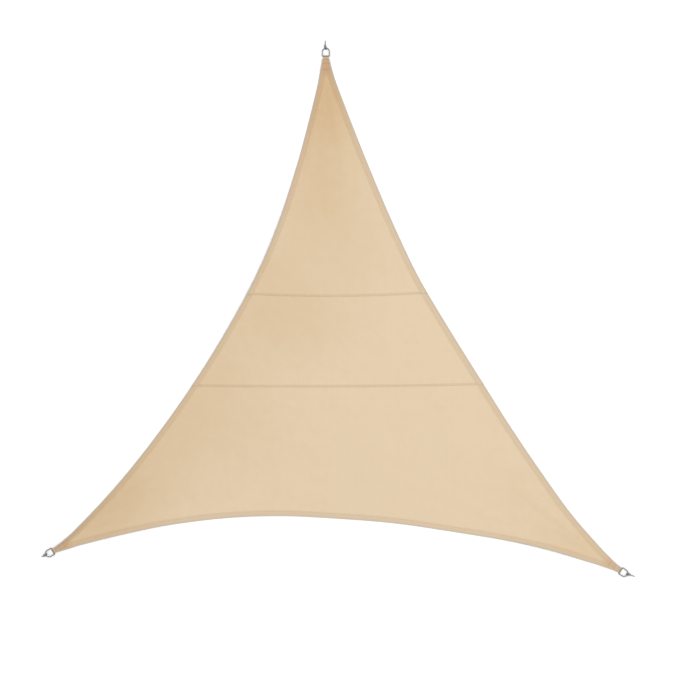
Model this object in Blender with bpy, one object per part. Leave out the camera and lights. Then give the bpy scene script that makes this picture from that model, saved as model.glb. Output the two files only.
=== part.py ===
"""A triangular shade sail laid out flat. Three panels of cloth are lapped and sewn along two
seams and hemmed along three inward-bowed sides. Each corner has a webbing loop, a steel D-ring
and a short cord tied to the ring.

Metres, +Z up. +Y points to the top corner and +X to the right-hand one, and the sail lies on
z = 0 with the origin under its middle.
"""

import math
from collections import namedtuple

import bmesh
import bpy
from mathutils import Vector
from mathutils.geometry import delaunay_2d_cdt, intersect_line_line_2d

# ---------------------------------------------------------------- driving dimensions

GAP = 0.0003  # kept between pieces that touch

CLOTH = 0.0012  # one layer of cloth
HEM = 0.003  # the folded hem, raised on the upper face
HEM_WIDTH = 0.028
HEM_SLOPE = 0.0015  # run of the slope where the hem meets the single cloth
LAP = 0.010  # overlap of two panels in a seam
LAP_RAMP = 0.026  # where the upper panel comes down beyond the lap

WEBBING = 0.0015  # thickness of the webbing
WEBBING_WIDTH = 0.028
WEBBING_TAIL = 0.072  # from the ring's bar to the end of each tail
WEBBING_WRAP = 205  # degrees that the webbing turns round the bar, from below it
SHOULDER = 0.0095  # from the ring's bar to where the two tails part to go round it
CLOTH_BACK = 0.012  # from the ring's bar to the blunt end of the cloth
CLOTH_LIFT = 2 * (WEBBING + GAP)  # the cloth's tip lies level on both tails
LIFT_END = 0.076  # as far as this from the bar
LIFT_RAMP = 0.045  # and comes down to the floor over this
TIP_REACH = 0.20  # a corner's lift is looked for only this near its bar

WIRE = 0.005  # diameter of the ring's wire
WIRE_SIDES = 10
RING_WIDTH = 0.036  # between the middles of the wire
RING_DEPTH = 0.040
RING_CORNER = 0.003  # bend at each end of the straight bar

CORD = 0.004  # diameter of the ties
CORD_SIDES = 8
CORD_STEP = 0.0044  # between points of a tie's line
KNOT_RADIUS = 0.0045  # of the turn that one half of a tie takes round the other
KNOT_START = 0.0075  # the turn begins this far out from the ring's wire
KNOT_PITCH = 0.0045  # and moves out this far in its one round

BAR_HEIGHT = WEBBING + GAP + WIRE / 2  # middle of the ring's bar above the floor
BOW_HEIGHT = CORD + 3 * GAP + WIRE / 2  # middle of its bow, which lies on the tie
RING_TILT = math.asin((BOW_HEIGHT - BAR_HEIGHT) / RING_DEPTH)
KNOT_HEIGHT = CORD / 2 + KNOT_RADIUS  # middle of the knot above the floor

EDGE_STEP = 0.056  # between points of the outline
FIELD_STEP = 0.072  # between points of the cloth's middle
CORNER_STEP = 0.036  # and within CORNER_REACH of a corner
CORNER_REACH = 0.62
LINE_ROOM = 0.4  # share of a step that these points keep from the lines of hems and seams
CURVE_STEPS = 12  # between two given points of a smooth curve, before it is evenly spaced

# Each corner: the middle of the ring's bar, the way the ring points in degrees from +X, the width
# of the cloth's blunt end, how far round the ring's bow the tie sits, in degrees, how far the
# tie's long and short free ends reach out from the bow, and how far the long one leans to the
# right of its way out.
Corner = namedtuple("Corner", "name x y heading cloth_width tie_swing tail stub lean")
TOP = Corner("top", -0.0552, 1.3066, 89, 0.036, 8, 0.040, 0.0205, 0.003)
LEFT = Corner("left", -1.446, -1.2164, 209, 0.028, -5, 0.026, 0.0165, 0.0)
RIGHT = Corner("right", 1.447, -1.3154, -33, 0.030, 14, 0.039, 0.0165, 0.0)
CORNERS = (TOP, LEFT, RIGHT)

# How far each side bows inwards from the straight line between its two corners:
# (share of the way, bow). The sides run top to left, left to right and right to top.
LEFT_BOW = (
    (0.00, 0.0000), (0.05, 0.0472), (0.12, 0.1001), (0.20, 0.1545), (0.30, 0.2086),
    (0.40, 0.2366), (0.50, 0.2391), (0.60, 0.2252), (0.70, 0.1970), (0.80, 0.1543),
    (0.88, 0.1066), (0.95, 0.0538), (0.98, 0.0253), (1.00, 0.0000),
)
BOTTOM_BOW = (
    (0.00, 0.0000), (0.05, 0.0473), (0.12, 0.1044), (0.20, 0.1588), (0.30, 0.2040),
    (0.40, 0.2242), (0.50, 0.2206), (0.60, 0.2072), (0.70, 0.1760), (0.80, 0.1385),
    (0.88, 0.0962), (0.95, 0.0428), (0.985, 0.0155), (1.00, 0.0000),
)
RIGHT_BOW = (
    (0.00, 0.0000), (0.015, 0.0155), (0.05, 0.0416), (0.12, 0.0827), (0.20, 0.1080),
    (0.30, 0.1306), (0.40, 0.1436), (0.50, 0.1546), (0.60, 0.1586), (0.70, 0.1365),
    (0.80, 0.1012), (0.88, 0.0675), (0.95, 0.0351), (0.98, 0.0175), (1.00, 0.0000),
)
SIDES = ((TOP, LEFT, LEFT_BOW), (LEFT, RIGHT, BOTTOM_BOW), (RIGHT, TOP, RIGHT_BOW))

# The middle line of each seam, a curve through (x, y).
UPPER_SEAM = ((-0.48, 0.0980), (-0.03, 0.0858), (0.48, 0.1037))
LOWER_SEAM = ((-0.75, -0.3700), (0.00, -0.3755), (0.75, -0.3635))

# Long soft folds that stand up from the floor: from (x, y) to (x, y), with the half width, the
# height and the share of the length over which each end fades.
Fold = namedtuple("Fold", "x0 y0 x1 y1 half_width height fade")
FOLDS = (
    # the broad swell inside the left side
    Fold(-0.11, 0.86, -0.66, -0.86, 0.27, 0.0095, 0.30),
    # tension folds out of the top corner
    Fold(-0.076, 1.215, -0.150, 0.62, 0.036, 0.0050, 0.35),
    Fold(-0.040, 1.205, 0.075, 0.56, 0.040, 0.0042, 0.35),
    # tension folds out of the left corner
    Fold(-1.365, -1.165, -0.80, -0.76, 0.042, 0.0055, 0.35),
    Fold(-1.350, -1.190, -0.74, -1.02, 0.038, 0.0044, 0.35),
    # tension folds out of the right corner
    Fold(1.360, -1.250, 0.86, -0.84, 0.040, 0.0048, 0.35),
    Fold(1.335, -1.285, 0.72, -1.07, 0.042, 0.0056, 0.35),
    # low swells across the middle
    Fold(0.16, 0.52, 0.30, 0.20, 0.13, 0.0042, 0.50),
    Fold(0.06, 0.02, 0.44, -0.24, 0.17, 0.0048, 0.50),
    Fold(0.02, -0.48, 0.30, -0.92, 0.16, 0.0040, 0.50),
    Fold(0.52, -0.52, 0.80, -0.86, 0.18, 0.0050, 0.50),
    Fold(-0.28, -0.94, 0.24, -0.99, 0.08, 0.0030, 0.50),
)


# ---------------------------------------------------------------- small helpers


def clear_scene():
    for thing in list(bpy.data.objects):
        bpy.data.objects.remove(thing, do_unlink=True)


def material(name, colour, roughness, metallic=0.0):
    made = bpy.data.materials.new(name)
    made.use_nodes = True
    shader = made.node_tree.nodes["Principled BSDF"]
    shader.inputs["Base Color"].default_value = (*colour, 1.0)
    shader.inputs["Roughness"].default_value = roughness
    shader.inputs["Metallic"].default_value = metallic
    return made


def add_object(name, data, look):
    made = bpy.data.objects.new(name, data)
    made.data.materials.append(look)
    bpy.context.collection.objects.link(made)
    return made


def turned(vector, degrees):
    angle = math.radians(degrees)
    c, s = math.cos(angle), math.sin(angle)
    return Vector((c * vector.x - s * vector.y, s * vector.x + c * vector.y))


def smooth_step(share):
    share = min(1.0, max(0.0, share))
    return share * share * (3 - 2 * share)


def through(points, step):
    """Points about step apart along a smooth curve through the given ones."""
    points = [Vector(p) for p in points]
    padded = [2 * points[0] - points[1], *points, 2 * points[-1] - points[-2]]
    dense = []
    for a, b, c, d in zip(padded, padded[1:], padded[2:], padded[3:]):
        for i in range(CURVE_STEPS):
            t = i / CURVE_STEPS
            dense.append(
                0.5 * (2 * b + (c - a) * t + (2 * a - 5 * b + 4 * c - d) * t * t
                       + (3 * b - a - 3 * c + d) * t * t * t)
            )
    dense.append(points[-1])
    return spaced(dense, step)


def spaced(line, step):
    """The same line with its points evenly spread, about step apart."""
    along = [0.0]
    for a, b in zip(line, line[1:]):
        along.append(along[-1] + (b - a).length)
    count = max(1, round(along[-1] / step))
    result = []
    k = 0
    for i in range(count + 1):
        place = along[-1] * i / count
        while k < len(line) - 2 and along[k + 1] < place:
            k += 1
        share = (place - along[k]) / (along[k + 1] - along[k])
        result.append(line[k].lerp(line[k + 1], min(1.0, share)))
    return result


# ---------------------------------------------------------------- outline of the cloth


def outward(corner):
    return turned(Vector((1, 0)), corner.heading)


def cloth_end(corner, hand):
    """One end of the cloth's blunt edge at a corner; hand is 1 for the end where a side
    begins, going round against the clock, and -1 for the end where one arrives."""
    way = outward(corner)
    middle = Vector((corner.x, corner.y)) - CLOTH_BACK * way
    return middle + turned(way, 90) * (hand * corner.cloth_width / 2)


def side_line(start, finish, bow):
    """One side of the sail, from corner to corner."""
    first, last = cloth_end(start, 1), cloth_end(finish, -1)
    inwards = turned((last - first).normalized(), 90)
    points = [first.lerp(last, share) + inwards * depth for share, depth in bow]
    return through(points, EDGE_STEP)


def crossing(line_a, line_b):
    """Where two lines cross: the place, and the index of the piece of each that it is on."""
    for i, (a, b) in enumerate(zip(line_a, line_a[1:])):
        for j, (c, d) in enumerate(zip(line_b, line_b[1:])):
            place = intersect_line_line_2d(a, b, c, d)
            if place is not None:
                return place, i, j
    return None


def moved_in(line, distance):
    """A side moved inwards by a distance."""
    result = []
    for i, point in enumerate(line):
        along = line[min(i + 1, len(line) - 1)] - line[max(i - 1, 0)]
        result.append(point + turned(along.normalized(), 90) * distance)
    return result


def inner_outline(sides, distance):
    """The closed outline at a distance inside the hemmed sides, sharp at its three corners."""
    lines = [moved_in(line, distance) for line in sides]
    for k in range(3):
        arriving, leaving = lines[k], lines[(k + 1) % 3]
        place, i, j = crossing(arriving, leaving)
        lines[k] = arriving[: i + 1] + [place]
        lines[(k + 1) % 3] = leaving[j + 1:]
    return [point for line in lines for point in line]


def seam_line(seam, shift):
    """A seam's line moved up by shift, running past both sides of the sail."""
    (x0, y0), (x1, y1), (x2, y2) = seam
    first, last = Vector((x0, y0 + shift)), Vector((x2, y2 + shift))
    share = (x1 - x0) / (x2 - x0)
    sag = y1 - (y0 + (y2 - y0) * share)
    count = round((x2 - x0) / EDGE_STEP)
    points = []
    for i in range(count + 1):
        t = i / count
        point = first.lerp(last, t)
        points.append(point + Vector((0, 4 * sag * t * (1 - t))))
    return points


def seam_height(seam, x):
    """The y of a seam's middle line at x."""
    (x0, y0), (x1, y1), (x2, y2) = seam
    t = (x - x0) / (x2 - x0)
    sag = y1 - (y0 + (y2 - y0) * (x1 - x0) / (x2 - x0))
    return y0 + (y2 - y0) * t + 4 * sag * t * (1 - t)


def line_across(corner, inside):
    """A line square across the cloth's tip, at a distance inside the ring's bar. It runs past
    both edges of the tip."""
    way = outward(corner)
    middle = Vector((corner.x, corner.y)) - inside * way
    half = turned(way, 90) * (corner.cloth_width + inside / 4)
    return [middle - half, middle + half]


# ---------------------------------------------------------------- heights of the cloth


def distance_to(point, line):
    best = math.inf
    for a, b in zip(line, line[1:]):
        span = b - a
        share = max(0.0, min(1.0, (point - a).dot(span) / span.length_squared))
        best = min(best, (point - a - span * share).length)
    return best


def fold_height(point):
    """How far the folds lift the cloth from the floor here."""
    total = 0.0
    for fold in FOLDS:
        start = Vector((fold.x0, fold.y0))
        span = Vector((fold.x1, fold.y1)) - start
        share = (point - start).dot(span) / span.length_squared
        if not 0 < share < 1:
            continue
        across = (point - start - span * share).length / fold.half_width
        if across >= 1:
            continue
        ends = smooth_step(share / fold.fade) * smooth_step((1 - share) / fold.fade)
        total += fold.height * ends * (1 - across * across) ** 2
    return total


def corner_lift(point):
    """How far the webbing's two tails lift the cloth's tip."""
    lift = 0.0
    for corner in CORNERS:
        from_bar = point - Vector((corner.x, corner.y))
        if from_bar.length < TIP_REACH:
            inside = -from_bar.dot(outward(corner))
            past_tail = (inside - LIFT_END) / LIFT_RAMP
            lift = max(lift, CLOTH_LIFT * (1 - smooth_step(past_tail)))
    return lift


# ---------------------------------------------------------------- cloth panels


def flat_pattern(sides):
    """The whole sail as one flat net of triangles, with lines along its outline, its hems and
    both edges of each seam."""
    outline = [point for line in sides for point in line]
    closed = [outline, inner_outline(sides, HEM_WIDTH), inner_outline(sides, HEM_WIDTH + HEM_SLOPE)]
    opened = []
    for seam in (UPPER_SEAM, LOWER_SEAM):
        for shift in (-LAP / 2, LAP / 2, LAP / 2 + LAP_RAMP):
            opened.append(seam_line(seam, shift))
    for corner in CORNERS:
        for inside in (LIFT_END, LIFT_END + LIFT_RAMP):
            opened.append(line_across(corner, inside))

    points = []
    edges = []
    for line in closed:
        first = len(points)
        points += line
        edges += [(first + i, first + (i + 1) % len(line)) for i in range(len(line))]
    for line in opened:
        first = len(points)
        points += line
        edges += [(first + i, first + i + 1) for i in range(len(line) - 1)]

    lines = [line + line[:1] for line in closed] + opened
    tips = [Vector((corner.x, corner.y)) for corner in CORNERS]
    for step, near in ((FIELD_STEP, False), (CORNER_STEP, True)):
        row = 0
        y = RIGHT.y
        while y < TOP.y:
            x = LEFT.x + (row % 2) * step / 2
            while x < RIGHT.x:
                place = Vector((x, y))
                close = min((place - tip).length for tip in tips) < CORNER_REACH
                if close == near and inside_outline(place, outline):
                    if all(distance_to(place, line) > LINE_ROOM * step for line in lines):
                        points.append(place)
                x += step
            y += step * math.sqrt(3) / 2
            row += 1
    border = list(range(len(outline)))
    places, _, faces, _, _, _ = delaunay_2d_cdt(points, edges, [border], 1, 1e-6)
    return places, faces


def inside_outline(point, outline):
    inside = False
    for a, b in zip(outline, outline[1:] + outline[:1]):
        if (a.y > point.y) != (b.y > point.y):
            if point.x < a.x + (point.y - a.y) / (b.y - a.y) * (b.x - a.x):
                inside = not inside
    return inside


def panel(name, places, faces, sides, above, below, look):
    """One panel: the part of the net from the seam above to the seam below, which it laps
    over. Its lower face follows the folds and its upper face is a cloth or a hem higher."""

    def belongs(face):
        middle = sum((places[i] for i in face), Vector((0, 0))) / len(face)
        if above and middle.y > seam_height(above, middle.x) + LAP / 2:
            return False
        return not (below and middle.y < seam_height(below, middle.x) - LAP / 2)

    def thickness(place):
        in_hem = any(distance_to(place, line) < HEM_WIDTH + HEM_SLOPE / 2 for line in sides)
        return HEM if in_hem else CLOTH

    def lap_lift(place):
        if not below:
            return 0.0
        past = (place.y - seam_height(below, place.x) - LAP / 2) / LAP_RAMP
        return (thickness(place) + GAP) * (1 - smooth_step(past))

    kept = [face for face in faces if belongs(face)]
    shell = bmesh.new()
    lower = {}
    upper = {}
    for i in sorted({i for face in kept for i in face}):
        place = places[i]
        floor = fold_height(place) + corner_lift(place) + lap_lift(place)
        lower[i] = shell.verts.new((place.x, place.y, floor))
        upper[i] = shell.verts.new((place.x, place.y, floor + thickness(place)))
    uses = {}
    for face in kept:
        shell.faces.new([upper[i] for i in face])
        shell.faces.new([lower[i] for i in reversed(face)])
        for a, b in zip(face, face[1:] + face[:1]):
            uses[(a, b)] = True
    for a, b in uses:
        if (b, a) not in uses:
            shell.faces.new((lower[a], lower[b], upper[b], upper[a]))
    mesh = bpy.data.meshes.new(name)
    shell.to_mesh(mesh)
    shell.free()
    mesh.shade_smooth()
    mesh.set_sharp_from_angle(angle=math.radians(30))
    return add_object(name, mesh, look)


# ---------------------------------------------------------------- corner fittings


def set_at_corner(piece, corner, height, tilt=0.0):
    """Put a piece, made with +Y as its outward way, at a corner's bar."""
    piece.location = (corner.x, corner.y, height)
    piece.rotation_euler = (tilt, 0.0, math.radians(corner.heading - 90))


def webbing_loop(corner, look):
    """A strip of webbing round the ring's bar, its two tails together under the cloth's tip."""
    inner = WIRE / 2 + GAP
    outer = inner + WEBBING
    low = WEBBING - BAR_HEIGHT  # upper face of the lower tail, from the bar's middle
    high = low + GAP  # lower face of the upper tail
    turns = 12
    inside = []
    outside = []
    for i in range(turns + 1):
        angle = math.radians(-90 + WEBBING_WRAP * i / turns)
        inside.append((inner * math.cos(angle), inner * math.sin(angle)))
        outside.append((outer * math.cos(angle), outer * math.sin(angle)))
    inside = [(-WEBBING_TAIL, low), (-SHOULDER, low), *inside, (-SHOULDER, high), (-WEBBING_TAIL, high)]
    outside = [
        (-WEBBING_TAIL, low - WEBBING), (-SHOULDER, low - WEBBING), *outside,
        (-SHOULDER, high + WEBBING), (-WEBBING_TAIL, high + WEBBING),
    ]
    strip = bmesh.new()
    rows = []
    for x in (-WEBBING_WIDTH / 2, WEBBING_WIDTH / 2):
        rows.append([[strip.verts.new((x, y, z)) for y, z in line] for line in (inside, outside)])
    (in_a, out_a), (in_b, out_b) = rows
    for i in range(len(inside) - 1):
        strip.faces.new((in_a[i], in_b[i], in_b[i + 1], in_a[i + 1]))
        strip.faces.new((out_a[i], out_a[i + 1], out_b[i + 1], out_b[i]))
        strip.faces.new((in_a[i], in_a[i + 1], out_a[i + 1], out_a[i]))
        strip.faces.new((in_b[i], out_b[i], out_b[i + 1], in_b[i + 1]))
    strip.faces.new((in_a[0], out_a[0], out_b[0], in_b[0]))
    strip.faces.new((in_a[-1], in_b[-1], out_b[-1], out_a[-1]))
    bmesh.ops.recalc_face_normals(strip, faces=strip.faces)
    mesh = bpy.data.meshes.new("loop_" + corner.name)
    strip.to_mesh(mesh)
    strip.free()
    mesh.shade_smooth()
    mesh.set_sharp_from_angle(angle=math.radians(35))
    piece = add_object("loop_" + corner.name, mesh, look)
    set_at_corner(piece, corner, BAR_HEIGHT)


def tube(name, points, diameter, sides, look):
    """A round bar or cord along a line of points, with 8, 10 or 12 sides."""
    curve = bpy.data.curves.new(name, "CURVE")
    curve.dimensions = "3D"
    curve.bevel_depth = diameter / 2
    curve.bevel_resolution = sides // 2 - 2
    curve.use_fill_caps = True
    spline = curve.splines.new("POLY")
    spline.points.add(len(points) - 1)
    for target, point in zip(spline.points, points):
        target.co = (*point, 1.0)
    return add_object(name, curve, look)


def ring_line():
    """The D-ring's wire: the straight bar through the origin, and the bow out along +Y."""
    half = RING_WIDTH / 2
    bends = (
        # middle x, middle y, radius, start angle, steps; each turns a corner or the bow
        (half - RING_CORNER, RING_CORNER, RING_CORNER, -90, 90, 3),
        (0.0, RING_DEPTH - half, half, 0, 180, 17),
        (RING_CORNER - half, RING_CORNER, RING_CORNER, 180, 90, 3),
    )
    points = []
    for x, y, radius, start, sweep, steps in bends:
        for i in range(steps + 1):
            angle = math.radians(start + sweep * i / steps)
            points.append((x + radius * math.cos(angle), y + radius * math.sin(angle), 0.0))
    return points


def ring(corner, look):
    """The ring, with a flat of its wire facing the middle of the eye."""
    piece = tube("ring_" + corner.name, ring_line(), WIRE, WIRE_SIDES, look)
    wire = piece.data.splines[0]
    wire.use_cyclic_u = True
    for point in wire.points:
        point.tilt = math.pi / WIRE_SIDES
    set_at_corner(piece, corner, BAR_HEIGHT, RING_TILT)


# ---------------------------------------------------------------- ties


def tie_route(corner):
    """A tie's line, seen from the wire of the ring's bow: x across, y out, z up from the floor.
    It runs from the free end through the knot, over the wire, back under it, once round
    itself in the knot and to the short free end."""
    low = CORD / 2 + GAP
    free = corner.tail - KNOT_START - KNOT_PITCH
    free_end = [
        (corner.lean, corner.tail, low),
        (0.90 * corner.lean, corner.tail - 0.25 * free, low + 0.0002),
        (0.55 * corner.lean, corner.tail - 0.55 * free, low + 0.0012),
        (0.15 * corner.lean, corner.tail - 0.82 * free, KNOT_HEIGHT - 0.0010),
    ]
    over_and_under = [
        (0.0000, KNOT_START + KNOT_PITCH / 2, KNOT_HEIGHT),
        (0.0012, 0.0062, KNOT_HEIGHT + 0.0021),
        (0.0042, 0.0022, 0.0124),
        (0.0052, -0.0030, 0.0124),
        (0.0044, -0.0070, 0.0088),
        (0.0010, -0.0072, 0.0050),
        (-0.0030, -0.0046, 0.0027),
        (-0.0052, -0.0008, low),
        (-0.0054, 0.0034, low),
    ]
    knot = []
    steps = 8
    for i in range(steps + 1):
        share = i / steps
        angle = math.radians(205 - 295 * share)
        knot.append((
            KNOT_RADIUS * math.cos(angle),
            KNOT_START + KNOT_PITCH * share,
            KNOT_HEIGHT + KNOT_RADIUS * math.sin(angle),
        ))
    short_end = [(-0.0030, 0.6 * corner.stub + 0.0048, low), (-0.0042, corner.stub, low)]
    return through(free_end + over_and_under + knot + short_end, CORD_STEP)


def tie(corner, look):
    """A tie on the bow of a corner's ring, at its own place round the bow."""
    piece = tube("tie_" + corner.name, tie_route(corner), CORD, CORD_SIDES, look)
    way = outward(corner)
    bow_middle = Vector((corner.x, corner.y)) + way * (RING_DEPTH - RING_WIDTH / 2)
    place = bow_middle + turned(way, corner.tie_swing) * (RING_WIDTH / 2)
    piece.location = (place.x, place.y, 0.0)
    piece.rotation_euler = (0.0, 0.0, math.radians(corner.heading + corner.tie_swing - 90))


# ---------------------------------------------------------------- the sail


def build():
    clear_scene()
    cloth = material("cloth", (0.76, 0.62, 0.43), 0.85)
    webbing = material("webbing", (0.66, 0.54, 0.38), 0.80)
    steel = material("steel", (0.62, 0.62, 0.62), 0.28, 1.0)
    cord = material("cord", (0.20, 0.21, 0.22), 0.75)

    sides = [side_line(*side) for side in SIDES]
    places, faces = flat_pattern(sides)
    panel("panel_top", places, faces, sides, None, UPPER_SEAM, cloth)
    panel("panel_middle", places, faces, sides, UPPER_SEAM, LOWER_SEAM, cloth)
    panel("panel_bottom", places, faces, sides, LOWER_SEAM, None, cloth)
    for corner in CORNERS:
        webbing_loop(corner, webbing)
        ring(corner, steel)
        tie(corner, cord)


build()
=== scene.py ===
"""The looks of a triangular shade sail laid out flat: three sewn panels of sand-coloured cloth with
hemmed, inward-bowed sides, and at each corner a webbing loop, a steel D-ring and a short cord tie.
"""

import itertools
import math
from collections import namedtuple

import bpy
import numpy as np
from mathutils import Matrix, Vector
from mathutils.geometry import delaunay_2d_cdt


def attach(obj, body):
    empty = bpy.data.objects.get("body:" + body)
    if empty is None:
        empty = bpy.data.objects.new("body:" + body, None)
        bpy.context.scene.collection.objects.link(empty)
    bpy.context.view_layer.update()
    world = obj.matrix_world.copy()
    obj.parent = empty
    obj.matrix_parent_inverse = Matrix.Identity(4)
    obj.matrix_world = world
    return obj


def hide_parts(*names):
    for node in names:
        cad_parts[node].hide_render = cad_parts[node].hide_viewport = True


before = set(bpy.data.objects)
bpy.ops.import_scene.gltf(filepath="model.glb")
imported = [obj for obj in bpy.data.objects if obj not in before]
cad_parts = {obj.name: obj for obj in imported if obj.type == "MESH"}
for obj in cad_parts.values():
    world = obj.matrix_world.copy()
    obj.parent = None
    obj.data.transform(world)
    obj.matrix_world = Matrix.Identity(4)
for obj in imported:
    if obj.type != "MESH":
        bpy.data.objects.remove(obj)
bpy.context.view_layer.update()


# ---------- camera
# It looks straight down on the sail, with the top corner at the top of the picture.

VIEW_CENTRE = (0.0191, -0.1428)
VIEW_HEIGHT = 8.2

camera = bpy.data.objects.new("camera", bpy.data.cameras.new("camera"))
camera.data.lens = 85
camera.data.sensor_width = 36
camera.location = (*VIEW_CENTRE, VIEW_HEIGHT)
bpy.context.scene.collection.objects.link(camera)
bpy.context.scene.camera = camera


# ---------- cord ties
# One short length of braided grey polyester cord on each ring, 4 mm thick. It goes over the
# ring's bow and back under it, takes one turn round itself as a knot, and both ends hang free.

# Each corner: the middle of the ring's bar, the way the ring points in degrees from +X, the width
# of the cloth's blunt end, how far round the bow the tie sits in degrees, how far the tie's two
# free ends reach out from it, and how far the long one leans to the side.
Corner = namedtuple("Corner", "name x y heading cloth_width tie_swing tail stub lean")
TOP = Corner("top", -0.0552, 1.3066, 89, 0.036, 8, 0.040, 0.0205, 0.003)
LEFT = Corner("left", -1.446, -1.2164, 209, 0.028, -5, 0.026, 0.0165, 0.0)
RIGHT = Corner("right", 1.447, -1.3154, -33, 0.030, 14, 0.039, 0.0165, 0.0)
CORNERS = (TOP, LEFT, RIGHT)

GAP = 0.0003  # between pieces that touch
RING_WIDTH = 0.036  # between the middles of the ring's wire
RING_DEPTH = 0.040

CORD = 0.004
CORD_SIDES = 32
CORD_RING_STEP = 0.00042  # between the rings of points along a cord
STRANDS = 8  # of the braid, in each direction
STRAND_RUN = 0.0021  # from one strand to the next, along the cord
STRAND_RELIEF = 0.00026
KNOT_RADIUS = 0.0045
KNOT_START = 0.0075
KNOT_PITCH = 0.0045
KNOT_TURN = (205, -295)  # where the knot's turn begins, and how far it goes round, in degrees
KNOT_STEPS = 8
KNOT_HEIGHT = CORD / 2 + KNOT_RADIUS + 0.0001
CURVE_STEPS = 12
SEALED_LENGTH = 0.0016  # over which the cord's melted ends round off
SEALED_FLAT = 0.0002


def turned(vector, degrees):
    angle = math.radians(degrees)
    c, s = math.cos(angle), math.sin(angle)
    return Vector((c * vector.x - s * vector.y, s * vector.x + c * vector.y))


def outward(corner):
    return turned(Vector((1, 0)), corner.heading)


def run_along(line):
    """The length of a line up to each of its points."""
    return np.concatenate([[0.0], np.cumsum(np.linalg.norm(np.diff(line, axis=0), axis=1))])


def ways_along(line):
    """The unit vector along a line at each of its points."""
    ways = np.gradient(line, axis=0)
    return ways / np.linalg.norm(ways, axis=1)[:, None]


def spaced(line, step):
    """The same line with its points evenly spread, about step apart."""
    line = np.array([tuple(p) for p in line])
    along = run_along(line)
    places = np.linspace(0.0, along[-1], max(1, round(along[-1] / step)) + 1)
    return np.stack([np.interp(places, along, column) for column in line.T], axis=1)


def through(points, step):
    """Points about step apart along a smooth curve through the given ones."""
    points = [Vector(p) for p in points]
    padded = [2 * points[0] - points[1], *points, 2 * points[-1] - points[-2]]
    dense = []
    for a, b, c, d in zip(padded, padded[1:], padded[2:], padded[3:]):
        for i in range(CURVE_STEPS):
            t = i / CURVE_STEPS
            dense.append(
                0.5 * (2 * b + (c - a) * t + (2 * a - 5 * b + 4 * c - d) * t * t
                       + (3 * b - a - 3 * c + d) * t * t * t)
            )
    dense.append(points[-1])
    return spaced(dense, step)


def tie_route(corner):
    """A tie's line, seen from the wire of the ring's bow: x across, y out, z up from the floor.
    It runs from the long free end through the knot, over the wire, back under it, once round
    itself in the knot and to the short free end."""
    low = CORD / 2 + GAP
    free = corner.tail - KNOT_START - KNOT_PITCH
    free_end = [
        (corner.lean, corner.tail, low),
        (0.90 * corner.lean, corner.tail - 0.25 * free, low + 0.0002),
        (0.55 * corner.lean, corner.tail - 0.55 * free, low + 0.0012),
        (0.15 * corner.lean, corner.tail - 0.82 * free, KNOT_HEIGHT - 0.0010),
    ]
    over_and_under = [
        (0.0000, KNOT_START + KNOT_PITCH / 2, KNOT_HEIGHT),
        (0.0013, 0.0062, KNOT_HEIGHT + 0.0021),
        (0.0038, 0.0028, 0.0120),
        (0.0050, -0.0012, 0.0126),
        (0.0048, -0.0046, 0.0107),
        (0.0030, -0.0055, 0.0072),
        (0.0002, -0.0044, 0.0043),
        (-0.0030, -0.0020, 0.0025),
        (-0.0050, 0.0012, low + 0.0001),
        (-0.0053, 0.0042, low + 0.0004),
    ]
    knot = []
    for i in range(KNOT_STEPS + 1):
        share = i / KNOT_STEPS
        angle = math.radians(KNOT_TURN[0] + KNOT_TURN[1] * share)
        knot.append((
            KNOT_RADIUS * math.cos(angle),
            KNOT_START + KNOT_PITCH * share,
            KNOT_HEIGHT + KNOT_RADIUS * math.sin(angle),
        ))
    short_end = [(-0.0030, 0.6 * corner.stub + 0.0048, low), (-0.0042, corner.stub, low)]
    return through(free_end + over_and_under + knot + short_end, CORD_RING_STEP)


def bow_place(corner):
    """Where the middle of a tie crosses the wire of its ring's bow."""
    way = outward(corner)
    middle = Vector((corner.x, corner.y)) + way * (RING_DEPTH - RING_WIDTH / 2)
    return middle + turned(way, corner.tie_swing) * (RING_WIDTH / 2)


def side_frames(line):
    """Two unit vectors square to each step of a line, carried along it without twist."""
    along = ways_along(line)
    first = np.cross(along[0], (0.0, 0.0, 1.0))
    across = [first / np.linalg.norm(first)]
    for way in along[1:]:
        carried = across[-1] - way * (across[-1] @ way)
        across.append(carried / np.linalg.norm(carried))
    across = np.array(across)
    return across, np.cross(along, across)


def mesh_object(name, points, faces, look):
    mesh = bpy.data.meshes.new(name)
    mesh.from_pydata(points.tolist(), [], faces)
    mesh.shade_smooth()
    made = bpy.data.objects.new(name, mesh)
    made.data.materials.append(look)
    bpy.context.scene.collection.objects.link(made)
    return made


def mesh_number(made, name, values):
    """Gives a mesh a number at each point, for its material."""
    made.data.attributes.new(name, "FLOAT", "POINT").data.foreach_set("value", values)


def tube_faces(rings, sides, closed=False):
    """Faces of a tube from its rings of points, with a cap at each end unless it is closed."""
    faces = []
    for i in range(rings if closed else rings - 1):
        a, b = i * sides, (i + 1) % rings * sides
        for k in range(sides):
            n = (k + 1) % sides
            faces.append((a + k, a + n, b + n, b + k))
    if not closed:
        faces.append(tuple(reversed(range(sides))))
        faces.append(tuple(range((rings - 1) * sides, rings * sides)))
    return faces


def rounded(share):
    """The height of a quarter circle at a share of its width, 1 beyond it."""
    return np.sqrt(np.clip(1 - (1 - np.minimum(1.0, share)) ** 2, 0, 1))


def braid_height(turn, along):
    """How high the strands of a braid stand, 0 to 1, at a share of a turn and a length."""
    u = turn * STRANDS + along / STRAND_RUN
    v = turn * STRANDS - along / STRAND_RUN
    right_over = (np.floor(u) + np.floor(v)) % 2 < 0.5
    over = np.where(right_over, u, v) % 1.0
    under = np.where(right_over, v, u) % 1.0
    return np.sin(np.pi * over) ** 0.7 * (0.55 + 0.45 * np.sin(np.pi * under))


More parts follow.
